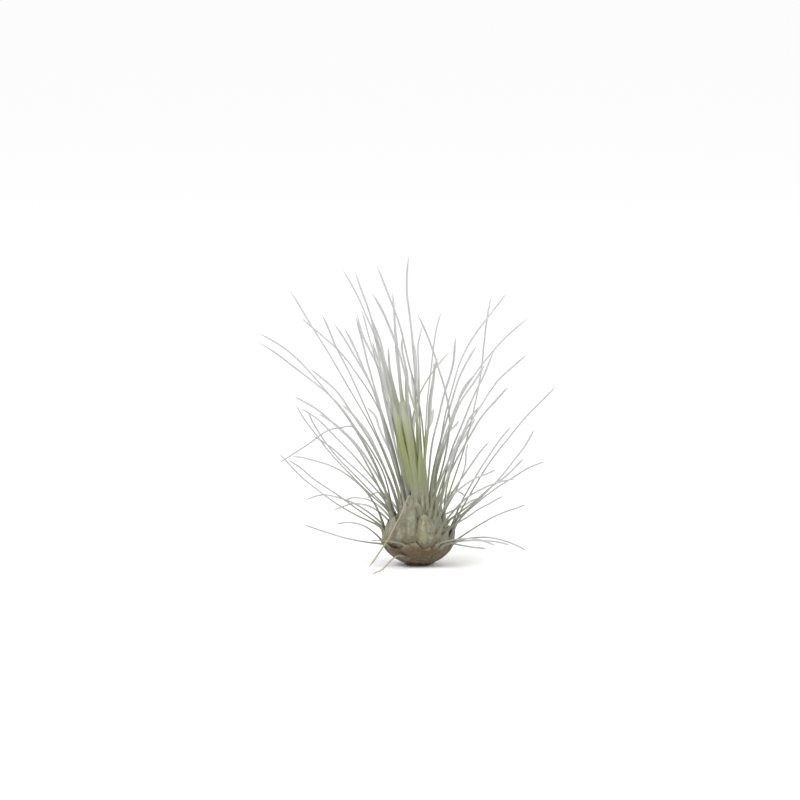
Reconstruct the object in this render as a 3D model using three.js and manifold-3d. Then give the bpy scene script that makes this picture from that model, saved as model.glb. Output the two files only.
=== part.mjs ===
// Tillandsia argentea, a small air plant: a bulb of overlapping leaf sheaths, about ninety thread-like leaves
// that spread from it on all sides, a green central shoot, two dried leaves and a short stem that it stands on.
// Millimetres. The stem stands on z = 0 on the Z axis. +X is the photograph's right and +Y points away from it.
import * as THREE from "three";
import { mergeVertices } from "three/addons/utils/BufferGeometryUtils.js";
import Module from "manifold-3d";

const wasm = await Module();
wasm.setup();
const WELD = 1e-4; // points nearer than this are one

// Sizes of the bulb and its stem
const STEM_RADIUS = 3.4;
const STEM_FOOT_RADIUS = 3.8;
const STEM_FOOT_HEIGHT = 0.8; // where it is back to its radius
const STEM_HEIGHT = 6.4;
const STEM_TOP_RADIUS = 2.6;
const STEM_BEVEL = 0.3;
const STEM_SIDES = 24;
const BULB_RADIUS = 9.8;
const WAIST_HEIGHT = 9; // where the bulb is widest
const NECK_RADIUS = 6;
const NECK_HEIGHT = 21;
const CORE_RADIUS = 3.5; // the central shoot at the waist
const CORE_NECK_RADIUS = 2.3; // and at the neck
const GAP = 0.3; // between two rings of leaves
const BOTTOM_RADIUS = 4.4; // where a ring's wall starts, round the stem
const UNDERSIDE_EASE = 1.8; // how softly the underside curves away from the waist
const FOOT_EASE = 0.8; // how steeply it ends at the stem

// Sizes of a ring's wall, whose edge rises to a tip under each leaf
const CROWN = 0.3; // how far a sheath stands out of its ring
const SHEATH_TURN = THREE.MathUtils.degToRad(21); // half its width
const ROUND = 40; // sides of the bulb
const RISE_STEPS = 5; // levels of its wall
const RISE_EASE = 1.7; // draws the levels together near the flat bottom
const EDGE_EASE = 1.4; // sharpens the tips of its edge
const CROWN_START = 1 / 3; // share of the wall's height above which a sheath stands out in full

// Sizes of a leaf's blade
const BLADE_SIDES = 3;
const BLADE_STEPS = 6;
const ROOT_DEPTH = 2.4; // how far a blade reaches down into its sheath
const BLADE_ROOT = 0.8; // half widths
const BLADE_TIP = 0.37;
const TAPER_EASE = 1.5; // a blade narrows fast near its root and slowly towards its tip
const FLATNESS = 0.82; // thickness of a blade against its width

// The photograph looks down on the plant by this angle, and heights in the tables below are as seen in it.
const LOOK_DOWN = THREE.MathUtils.degToRad(5);

// How the leaves of a sector are spread
const GOLDEN = (Math.sqrt(5) - 1) / 2;
const AZIMUTH_SPREAD = 0.1; // of the sector, drawn for each leaf
const START_SPREAD = 1; // between the heights where the blades of a ring leave it
const SECTOR_SEED = 7; // times a ring's seed starts the draws of its sectors

// Each ring of leaves, from the lowest and oldest to the centre.
// depth: place in the bulb, 0 on its surface and 1 at the central shoot.
// bottom, rim, top: heights of the wall's foot, of its edge between two sheaths and of a sheath's tip.
// start: height where the blades leave the wall.
// bare: azimuths in degrees of the sheaths that have no blade.
// leaves: those told apart in the photograph, each with the azimuth that it grows from in degrees (0 right,
// 90 behind), then its middle x, z and its tip x, z and depth y, in millimetres.
// more: leaves that point to and from the viewer, laid out by a rule: how many, the sector of azimuths that
// they fill, their slope, length and bow.
// bent: the leaf with a sharp bend, by the x, z of the points that it passes.
const RINGS = [
  {
    name: "old_leaves",
    colour: 0x8c8161,
    depth: -0.22,
    bottom: 1.2,
    rim: 4.6,
    top: 6.4,
    start: 6.6,
    bare: [-128, -94, -70, 30, 52, 152],
    leaves: [
      [-150, -19.5, 7.6, -31.6, 11.8, -15],
      [172, -16.5, 11.3, -23, 11.2, 7],
      [-14, 20, 13, 30.2, 17.4, -15],
      [10, 20.5, 7.4, 30.7, 3.6, 12],
      [-33, 14.8, 5.4, 18.8, 5, -19],
      [-112, -8.6, 6.9, -13.2, 7.1, -8.5],
    ],
    more: [
      { count: 7, sector: [74, 132], slope: [2, 16], length: [38, 50], bow: 0.12 },
      { count: 2, sector: [-62, -46], slope: [2, 8], length: [26, 32], bow: 0.05 },
    ],
    seed: 11,
  },
  {
    name: "outer_leaves",
    colour: 0x8b8e73,
    depth: 0,
    bottom: 2.7,
    rim: 11,
    top: 13.4,
    start: 10.8,
    bare: [-142, -107, -78, 147],
    leaves: [
      [174, -24, 17.6, -39.3, 31.3, 17],
      [-163, -22, 19.4, -36.2, 30.2, -23],
      [160, -20.5, 25.4, -36.6, 29.6, 30],
      [-10, 22, 31.3, 38, 50.3, -16],
      [12, 16.4, 24.6, 27, 38.5, 31],
      [24, 21.4, 22.2, 33.4, 38.2, 26],
      [-22, 20.5, 21, 35.5, 29.5, -27],
      [42, 18, 18.8, 30.5, 29.8, 38],
      [-40, 15, 14.8, 22.7, 20.2, -40],
      [66, 12, 15.6, 19, 18, 42],
    ],
    more: [
      { count: 7, sector: [76, 134], slope: [24, 42], length: [50, 60], bow: 0.1 },
      { count: 2, sector: [-68, -50], slope: [20, 26], length: [40, 48], bow: 0.08 },
    ],
    seed: 23,
  },
  {
    name: "middle_leaves",
    colour: 0x8e947b,
    depth: 1 / 3,
    bottom: 4.2,
    rim: 14.4,
    top: 16.6,
    start: 14.6,
    bare: [-126, -94],
    leaves: [
      [176, -24, 30.5, -34.7, 45.2, 14],
      [-170, -20, 28, -30.8, 43.3, -27],
      [156, -18.6, 31, -33.8, 44.1, 27],
      [-154, -16, 26, -29, 36.4, -36],
      [-178, -24, 47, -44.6, 65, -4],
      [-162, -23, 45.4, -44, 62.6, -20],
      [-16, 11.8, 24.6, 13.8, 35, -38],
      [22, 12.6, 24.2, 20.5, 34, 37],
      [-4, 15, 40.6, 30.2, 59.3, -15],
      [10, 15.2, 41, 20.8, 75.5, 20],
      [-34, 8.8, 28, 11.4, 37.2, -43],
      [34, 13.2, 42, 22.7, 60, 27],
      [48, 11.4, 32, 17.5, 41, 40],
    ],
    more: [
      { count: 4, sector: [64, 136], slope: [40, 58], length: [54, 64], bow: 0.08 },
      { count: 2, sector: [-66, -48], slope: [36, 48], length: [46, 54], bow: 0.06 },
    ],
    bent: {
      azimuth: 166,
      tipY: 8,
      route: [
        [-9.4, 24.8],
        [-13.1, 31.8],
        [-17.2, 38],
        [-18.6, 39.1],
        [-21.8, 38.7],
        [-25.6, 38],
        [-32.4, 33.4],
        [-39.1, 28],
      ],
    },
    seed: 37,
  },
  {
    name: "inner_leaves",
    colour: 0x8f9a74,
    depth: 2 / 3,
    bottom: 5.7,
    rim: 17.4,
    top: 19.6,
    start: 17.6,
    bare: [],
    leaves: [
      [-174, -20, 52, -36.6, 76.5, -9],
      [170, -17.4, 53.8, -33, 70, 13],
      [-156, -15.4, 46, -26.8, 69.5, -25],
      [146, -12, 47, -24, 68.5, 30],
      [-8, 13.3, 49, 30.3, 69.3, -13],
      [14, 11.8, 53, 24.8, 76.8, 12],
      [-38, 7.8, 38, 15.3, 53, -35],
      [-60, 5.2, 40.5, 11, 63.3, -26],
      [40, 8.8, 45.5, -0.2, 70.8, 21],
      [-140, -11, 43, -16.8, 69.5, -20],
      [128, -12.4, 47, -20.2, 67, 17],
      [-120, -7.2, 38, -12.2, 62, -31],
      [112, -8.8, 43, -13.6, 71, 24],
    ],
    more: [
      { count: 2, sector: [50, 110], slope: [58, 70], length: [46, 54], bow: 0.06 },
      { count: 2, sector: [-100, -66], slope: [62, 74], length: [44, 52], bow: 0.05 },
    ],
    seed: 41,
  },
  {
    name: "central_shoot",
    colour: 0x8f9a5c,
    depth: 1,
    bottom: 7.2,
    rim: 20.6,
    top: 22,
    start: 20.6,
    bare: [],
    leaves: [
      [180, -7.8, 51, -20.7, 83.3, -1],
      [150, -8.4, 52, -16.7, 82.5, 7],
      [-40, -1.2, 53, -12.3, 83.2, -5],
      [-80, -2.2, 50, -13.7, 75.5, -11],
      [110, -4.2, 50, -7.3, 76.5, 8],
      [60, -1, 52, -2.2, 86.5, 3],
      [-10, 2.4, 44, 6.7, 71, -9],
      [30, 0.4, 48, 9.3, 60, 14],
    ],
    more: [{ count: 9, sector: [-180, 180], slope: [80, 88], length: [38, 52], bow: 0.02 }],
    seed: 53,
  },
];
const SHOOT_LEAN = new THREE.Vector3(-8, 0, 0); // how far the tips of the central shoot lean to the left
const MIDDLE_LEAN = 0.34; // share of that at the middle of a leaf

// The youngest leaves, still rolled up into a spear in the middle of the shoot: its radius and its lean along x
// at a height
const SPEAR_SIDES = 10;
const SPEAR = [
  { height: 19, radius: 2, lean: -0.5 },
  { height: 22, radius: 2.3, lean: -1.1 },
  { height: 32, radius: 2.3, lean: -2.4 },
  { height: 42, radius: 2.1, lean: -3.4 },
  { height: 45, radius: 1.8, lean: -3.6 },
  { height: 46, radius: 1.1, lean: -3.7 },
];

// A sequence of draws from 0 to 1 that is the same every time.
function draws(seed) {
  let state = seed;
  return () => {
    state = (Math.imul(state, 1664525) + 1013904223) >>> 0;
    return state / 4294967296;
  };
}

const between = ([low, high], share) => low + (high - low) * share;

// Radius of a ring's wall at a height.
function ringRadius(ring, z) {
  const waist = BULB_RADIUS + (CORE_RADIUS - BULB_RADIUS) * ring.depth;
  if (z < WAIST_HEIGHT) {
    const down = Math.min(1, (WAIST_HEIGHT - z) / (WAIST_HEIGHT - ring.bottom));
    return BOTTOM_RADIUS + (waist - BOTTOM_RADIUS) * (1 - down ** UNDERSIDE_EASE) ** FOOT_EASE;
  }
  const up = Math.min(1, (z - WAIST_HEIGHT) / (NECK_HEIGHT - WAIST_HEIGHT));
  const outer = NECK_RADIUS + (BULB_RADIUS - NECK_RADIUS) * Math.cos((up * Math.PI) / 2);
  const core = CORE_RADIUS + (CORE_NECK_RADIUS - CORE_RADIUS) * up;
  return outer + (core - outer) * ring.depth;
}

// A point at an azimuth and a height, that lies so far out of a ring's wall.
function onRing(ring, azimuth, z, out = 0) {
  const radius = ringRadius(ring, z) + out;
  return new THREE.Vector3(radius * Math.cos(azimuth), radius * Math.sin(azimuth), z);
}

// A closed geometry as a solid that can be joined.
function solidOf(geometry) {
  const bare = new THREE.BufferGeometry().setAttribute("position", geometry.getAttribute("position"));
  bare.setIndex(geometry.index);
  const merged = mergeVertices(bare, WELD);
  const corners = merged.index.array;
  const kept = [];
  for (let i = 0; i < corners.length; i += 3) {
    const [a, b, c] = corners.subarray(i, i + 3);
    if (a !== b && b !== c && c !== a) kept.push(a, b, c);
  }
  return new wasm.Manifold(
    new wasm.Mesh({
      numProp: 3,
      vertProperties: merged.attributes.position.array,
      triVerts: new Uint32Array(kept),
    }),
  );
}

function geometryOf(solid) {
  const mesh = solid.getMesh();
  return new THREE.BufferGeometry()
    .setAttribute("position", new THREE.BufferAttribute(mesh.vertProperties, 3))
    .setIndex(new THREE.BufferAttribute(mesh.triVerts, 1));
}

// How near an angle is to the middle of a leaf's sheath: 1 at the middle, 0 between two sheaths.
function sheathShare(azimuths, angle) {
  const shares = azimuths.map((azimuth) => {
    const turn = Math.abs(THREE.MathUtils.euclideanModulo(angle - azimuth + Math.PI, 2 * Math.PI) - Math.PI);
    return Math.cos((Math.min(1, turn / SHEATH_TURN) * Math.PI) / 2);
  });
  return Math.max(0, ...shares);
}

// The wall of a ring: its outside goes up to an edge that rises to each sheath's tip, and its inside comes
// down with a gap to the next ring. The central shoot has no next ring and is full.
function wall(ring, next, leaves) {
  const bare = ring.bare.map((degrees) => THREE.MathUtils.degToRad(degrees));
  const azimuths = [...bare, ...leaves.map(({ azimuth }) => azimuth)];
  const steps = Array.from({ length: RISE_STEPS + 1 }, (_, i) => (i / RISE_STEPS) ** RISE_EASE);
  const outside = steps.map((rise) => ({ rise, side: ring, foot: ring.bottom, margin: 0 }));
  const innerFoot = next ? next.bottom - GAP : 0;
  const inside = steps.map((rise) => ({ rise, side: next, foot: innerFoot, margin: CROWN + 2 * GAP }));
  const hole = STEM_RADIUS + GAP;
  const start = { radius: next ? hole : 0, foot: ring.bottom };
  const loop = next
    ? [start, ...outside, ...inside.reverse(), { radius: hole, foot: innerFoot }, start]
    : [start, ...outside, { radius: 0, foot: ring.rim }];
  const column = loop.map((_, i) => new THREE.Vector2(BULB_RADIUS, i));
  const lathe = new THREE.LatheGeometry(column, ROUND); // its points are then moved to their places
  const place = lathe.getAttribute("position");
  for (let i = 0; i < place.count; i++) {
    const { radius, rise = 0, side, foot, margin } = loop[i % loop.length];
    const angle = (Math.floor(i / loop.length) % ROUND) * ((2 * Math.PI) / ROUND);
    const share = sheathShare(azimuths, angle);
    const edge = ring.rim + (ring.top - ring.rim) * share ** EDGE_EASE;
    const z = foot + (edge - foot) * rise;
    const crown = margin ? 0 : CROWN * share * Math.min(1, rise / CROWN_START);
    const reach = side ? ringRadius(side, z + GAP * (side !== ring)) + margin + crown : radius;
    place.setXYZ(i, reach * Math.cos(angle), reach * Math.sin(angle), z);
  }
  return solidOf(lathe);
}

// The short woody stem that all the leaves grow from.
function stemBody() {
  const profile = [
    [0, 0],
    [STEM_FOOT_RADIUS - STEM_BEVEL, 0],
    [STEM_FOOT_RADIUS, STEM_BEVEL],
    [STEM_RADIUS, STEM_FOOT_HEIGHT],
    [STEM_RADIUS, STEM_HEIGHT - 2 * STEM_BEVEL],
    [STEM_TOP_RADIUS, STEM_HEIGHT],
    [0, STEM_HEIGHT],
  ];
  const points = profile.map(([radius, height]) => new THREE.Vector2(radius, height));
  return solidOf(new THREE.LatheGeometry(points, STEM_SIDES).rotateX(Math.PI / 2));
}

// The points of a leaf: a gentle bow from the wall through its middle to its tip, or the route of a bent one.
function leafPoints(ring, { azimuth, start, middle, tip, route }) {
  const from = onRing(ring, azimuth, start);
  if (route) return [from, ...route];
  const lower = middle.distanceTo(from);
  const share = lower / (lower + tip.distanceTo(middle)); // how far along the leaf its middle lies
  return Array.from({ length: BLADE_STEPS + 1 }, (_, i) => {
    const t = i / BLADE_STEPS;
    return from
      .clone()
      .multiplyScalar(((t - share) * (t - 1)) / share)
      .addScaledVector(middle, (t * (t - 1)) / (share * (share - 1)))
      .addScaledVector(tip, (t * (t - share)) / (1 - share));
  });
}

// A three-sided tapered blade that follows points, broad across the direction given.
function blade(points, halfWidths, across) {
  const last = points.length - 1;
  const tube = new THREE.CylinderGeometry(1, 1, 1, BLADE_SIDES, last);
  const place = tube.getAttribute("position");
  let wide = across;
  const frames = points.map((point, i) => {
    const along = points[Math.min(last, i + 1)].clone().sub(points[Math.max(0, i - 1)]).normalize();
    wide = wide.clone().addScaledVector(along, -wide.dot(along)).normalize();
    return { point, wide, thick: wide.clone().cross(along) };
  });
  for (let i = 0; i < place.count; i++) {
    const step = Math.round((place.getY(i) + 0.5) * last);
    const frame = frames[step];
    const corner = frame.point
      .clone()
      .addScaledVector(frame.wide, place.getX(i) * halfWidths[step])
      .addScaledVector(frame.thick, place.getZ(i) * halfWidths[step] * FLATNESS);
    place.setXYZ(i, corner.x, corner.y, corner.z);
  }
  return solidOf(tube);
}

// A leaf's blade, with its root sunk in its sheath.
function leafBlade(ring, leaf) {
  const points = [onRing(ring, leaf.azimuth, leaf.start - ROOT_DEPTH), ...leafPoints(ring, leaf)];
  const last = points.length - 1;
  const narrowing = points.map((_, i) => (1 - i / last) ** TAPER_EASE);
  const halfWidths = narrowing.map((share) => BLADE_TIP + (BLADE_ROOT - BLADE_TIP) * share);
  const across = new THREE.Vector3(-Math.sin(leaf.azimuth), Math.cos(leaf.azimuth), 0);
  return blade(points, halfWidths, across);
}

// A point from what the photograph shows: x and height as seen, and a depth that is judged.
function seen(x, y, z) {
  return new THREE.Vector3(x, y, (z - y * Math.sin(LOOK_DOWN)) / Math.cos(LOOK_DOWN));
}

// The leaves read from the photograph. Each one's middle lies as far back as its place between the wall and the
// tip says.
function seenLeaves(ring) {
  const draw = draws(ring.seed);
  return ring.leaves.map(([degrees, middleX, middleZ, tipX, tipZ, tipY]) => {
    const azimuth = THREE.MathUtils.degToRad(degrees);
    const start = ring.start + (draw() - 0.5) * START_SPREAD;
    const from = onRing(ring, azimuth, start);
    const lower = Math.hypot(middleX - from.x, middleZ - start);
    const share = lower / (lower + Math.hypot(tipX - middleX, tipZ - middleZ));
    const middleY = from.y + (tipY - from.y) * share;
    return { azimuth, start, middle: seen(middleX, middleY, middleZ), tip: seen(tipX, tipY, tipZ) };
  });
}

function bentLeaf(ring) {
  const { azimuth: degrees, tipY, route } = ring.bent;
  const azimuth = THREE.MathUtils.degToRad(degrees);
  const fromY = onRing(ring, azimuth, ring.start).y;
  const points = route.map(([x, z], i) => seen(x, fromY + ((tipY - fromY) * (i + 1)) / route.length, z));
  return { azimuth, start: ring.start, route: points };
}

// The leaves of one sector, which are spread over it by the golden section.
function sectorLeaves(ring, { count, sector, slope, length, bow }, draw) {
  const lean = ring.depth === 1 ? SHOOT_LEAN : new THREE.Vector3();
  return Array.from({ length: count }, (_, i) => {
    const azimuth = THREE.MathUtils.degToRad(between(sector, (i * GOLDEN + draw() * AZIMUTH_SPREAD) % 1));
    const start = ring.start + (draw() - 0.5) * START_SPREAD;
    const rise = THREE.MathUtils.degToRad(between(slope, draw()));
    const reach = between(length, draw());
    const out = new THREE.Vector3(Math.cos(azimuth), Math.sin(azimuth), 0);
    const up = new THREE.Vector3(0, 0, 1);
    const along = out.clone().multiplyScalar(Math.cos(rise)).addScaledVector(up, Math.sin(rise));
    const bulge = out.clone().multiplyScalar(-Math.sin(rise)).addScaledVector(up, Math.cos(rise));
    const from = onRing(ring, azimuth, start);
    const middle = from.clone().addScaledVector(along, reach / 2).addScaledVector(bulge, reach * bow);
    const tip = from.clone().addScaledVector(along, reach).add(lean);
    return { azimuth, start, middle: middle.addScaledVector(lean, MIDDLE_LEAN), tip };
  });
}

// The spear in the middle of the shoot.
function spearBody() {
  const profile = [{ ...SPEAR[0], radius: 0 }, ...SPEAR, { ...SPEAR.at(-1), radius: 0 }];
  const points = profile.map(({ radius, height }) => new THREE.Vector2(radius, height));
  const lathe = new THREE.LatheGeometry(points, SPEAR_SIDES).rotateX(Math.PI / 2);
  const place = lathe.getAttribute("position");
  for (let i = 0; i < place.count; i++) place.setX(i, place.getX(i) + profile[i % profile.length].lean);
  return solidOf(lathe);
}

// One ring of leaves as one body: its wall with all its blades, and in the centre also the spear.
function leafRing(ring, next) {
  const draw = draws(ring.seed * SECTOR_SEED);
  const leaves = [...seenLeaves(ring), ...ring.more.flatMap((rule) => sectorLeaves(ring, rule, draw))];
  if (ring.bent) leaves.push(bentLeaf(ring));
  const body = leaves.reduce((joined, leaf) => joined.add(leafBlade(ring, leaf)), wall(ring, next, leaves));
  return next ? body : body.add(spearBody());
}

// The two dried leaves, whose sheaths lie on the bulb: one is folded down over the front, and the other drops
// from below the bulb to the surface and lies along it. A route holds the points that the blade passes after its
// root.
const DRY_COLOUR = 0xb3a179;
const DRY_THICKNESS = 0.7;
const DRY_ROOT = 0.7; // half width of a dried blade where its sheath ends
const DRY_LIFT = CROWN + 1.2 * GAP; // how far the underside of a dry sheath lies out of its ring
const DRY_POINT = 0.8; // how much of its width a dry sheath loses up to its top
const DRY_OVERLAP = 0.9; // how far below that top its blade starts
const DRY_CELLS = [4, 5]; // across a dry sheath and up it
const DRY_LEAVES = {
  dry_leaf_front: {
    ring: RINGS[1],
    degrees: -103,
    halfWidth: 2.1,
    foot: 11,
    top: 20.4,
    route: [
      [-1.9, -7.9, 21],
      [-3, -9.8, 19.6],
      [-4.8, -11, 15.4],
      [-6.8, -11.6, 11.6],
      [-8.8, -12.2, 8],
      [-10.8, -12.8, 5],
      [-12.6, -13.4, 2.4],
      [-13.6, -13.8, 1.2],
    ],
  },
  dry_leaf_low: {
    ring: RINGS[0],
    degrees: -118,
    halfWidth: 1.8,
    foot: 2,
    top: 4.6,
    route: [
      [-5.7, -10.6, 3.7],
      [-7.2, -12.8, 3.1],
      [-8.8, -15, 1.6],
      [-10.4, -17.6, 0.5],
      [-11.6, -21, 0.5],
      [-12.5, -24.6, 0.5],
    ],
  },
};

// One dried leaf: a spoon-shaped sheath, which is a box bent onto its ring and drawn to a point, and a blade.
function dryLeaf({ ring, degrees, halfWidth, foot, top, route }) {
  const azimuth = THREE.MathUtils.degToRad(degrees);
  const box = new THREE.BoxGeometry(2, 1, 1, ...DRY_CELLS, 1);
  const place = box.getAttribute("position");
  for (let i = 0; i < place.count; i++) {
    const share = place.getY(i) + 0.5;
    const z = foot + (top - foot) * share;
    const out = DRY_LIFT + (place.getZ(i) > 0 ? DRY_THICKNESS : 0);
    const across = place.getX(i) * halfWidth * (1 - DRY_POINT * share ** 2);
    const point = onRing(ring, azimuth + across / ringRadius(ring, z), z, out);
    place.setXYZ(i, point.x, point.y, point.z);
  }
  const root = onRing(ring, azimuth, top - DRY_OVERLAP, DRY_LIFT + DRY_THICKNESS / 2);
  const points = [root, ...route.map(([x, y, z]) => new THREE.Vector3(x, y, z))];
  const halfWidths = points.map((_, i) => DRY_ROOT + (BLADE_TIP - DRY_ROOT) * (i / (points.length - 1)));
  return solidOf(box).add(blade(points, halfWidths, new THREE.Vector3(1, 0, 0)));
}

const STEM_COLOUR = 0x6b5138;
const STEM_ROUGHNESS = 0.9;
const LEAF_ROUGHNESS = 0.85;

const plant = new THREE.Group();

function addNode(name, solid, colour, roughness = LEAF_ROUGHNESS) {
  const material = new THREE.MeshStandardMaterial({ color: colour, roughness, metalness: 0 });
  const mesh = new THREE.Mesh(geometryOf(solid), material);
  mesh.name = name;
  plant.add(mesh);
}

addNode("stem", stemBody(), STEM_COLOUR, STEM_ROUGHNESS);
RINGS.forEach((ring, i) => addNode(ring.name, leafRing(ring, RINGS[i + 1]), ring.colour));
Object.entries(DRY_LEAVES).forEach(([name, leaf]) => addNode(name, dryLeaf(leaf), DRY_COLOUR));

export default plant;
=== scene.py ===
# Tillandsia argentea: the finished look of the air plant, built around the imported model. Metres throughout.
import math
from collections import namedtuple
from types import SimpleNamespace

import bmesh
import bpy
from bpy.props import FloatProperty, FloatVectorProperty, PointerProperty
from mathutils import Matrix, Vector


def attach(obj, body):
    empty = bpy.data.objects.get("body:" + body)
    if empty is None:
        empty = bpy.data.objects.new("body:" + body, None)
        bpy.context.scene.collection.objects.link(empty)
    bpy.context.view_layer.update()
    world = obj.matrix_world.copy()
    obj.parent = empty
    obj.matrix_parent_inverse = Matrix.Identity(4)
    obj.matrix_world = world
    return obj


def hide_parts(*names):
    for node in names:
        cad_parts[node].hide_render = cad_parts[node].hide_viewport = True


bl_info = {
    "name": "Air plant builder",
    "version": (1, 0, 0),
    "blender": (4, 5, 0),
    "location": "View3D > Sidebar > Air plant",
    "description": "Builds the leaves, sheaths and stem of a small silver air plant",
    "category": "Add Mesh",
}

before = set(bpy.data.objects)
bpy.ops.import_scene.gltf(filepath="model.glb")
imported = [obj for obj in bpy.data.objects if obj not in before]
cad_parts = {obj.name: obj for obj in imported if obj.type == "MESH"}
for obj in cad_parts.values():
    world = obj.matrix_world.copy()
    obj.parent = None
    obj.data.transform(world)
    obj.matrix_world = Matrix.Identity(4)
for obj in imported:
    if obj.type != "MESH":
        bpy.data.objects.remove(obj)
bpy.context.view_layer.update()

# A millimetre in metres, the golden section, and how steeply the photograph looks down on the plant
MM = 0.001
GOLDEN = (math.sqrt(5) - 1) / 2
LOOK_DOWN = math.radians(5)

# Sizes of the bulb, in millimetres
BULB_RADIUS = 9.8
WAIST_HEIGHT = 9.0
NECK_RADIUS = 6.0
NECK_HEIGHT = 21.0
CORE_RADIUS = 3.5
CORE_NECK_RADIUS = 2.3
BOTTOM_RADIUS = 4.4

# How round the bulb's underside is, as powers
UNDERSIDE_EASE = 1.8
FOOT_EASE = 0.8

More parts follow.
